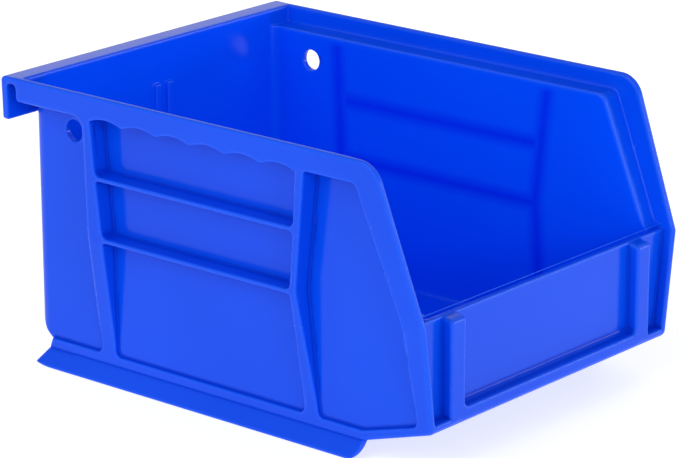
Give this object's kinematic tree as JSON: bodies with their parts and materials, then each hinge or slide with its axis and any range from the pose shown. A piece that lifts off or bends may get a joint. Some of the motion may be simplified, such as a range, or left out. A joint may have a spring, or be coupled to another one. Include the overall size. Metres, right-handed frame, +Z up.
{
  "type": "stackable storage bin",
  "caption": "Blue moulded parts bin with a low hopper front, label recess, stacking ledges with skirts below, ribbed sides and a hanging lip at the back.",
  "frame": {"origin": "centre of the bounding box in X and Y, at the plane of the stacking skirts' tips that the bin stands on", "axes": "+Z up, -Y towards the open hopper front, +Y towards the hanging lip, X across the width with the symmetry plane at X = 0"},
  "size_m": [0.1048, 0.1366, 0.0762],
  "materials": {
    "blue_plastic": "smooth glossy moulded polypropylene, saturated royal blue, soft edge wear and faint sink marks"
  },
  "bodies": {
    "root": {"floor_panel": "blue_plastic", "back_wall": "blue_plastic", "front_wall": "blue_plastic", "left_side_wall": "blue_plastic", "right_side_wall": "blue_plastic", "left_stacking_ledge": "blue_plastic", "right_stacking_ledge": "blue_plastic", "left_rim_lip": "blue_plastic", "right_rim_lip": "blue_plastic", "left_front_flange": "blue_plastic", "right_front_flange": "blue_plastic", "rear_flange": "blue_plastic", "hanging_lip": "blue_plastic", "left_rear_rib": "blue_plastic", "right_rear_rib": "blue_plastic", "left_front_rib": "blue_plastic", "right_front_rib": "blue_plastic", "left_upper_shelf": "blue_plastic", "right_upper_shelf": "blue_plastic", "left_lower_shelf": "blue_plastic", "right_lower_shelf": "blue_plastic", "left_base_strip": "blue_plastic", "right_base_strip": "blue_plastic", "left_stacking_skirt": "blue_plastic", "right_stacking_skirt": "blue_plastic", "left_label_rail": "blue_plastic", "right_label_rail": "blue_plastic", "label_sill": "blue_plastic", "left_divider_rib": "blue_plastic", "right_divider_rib": "blue_plastic"}
  },
  "joints": []
}
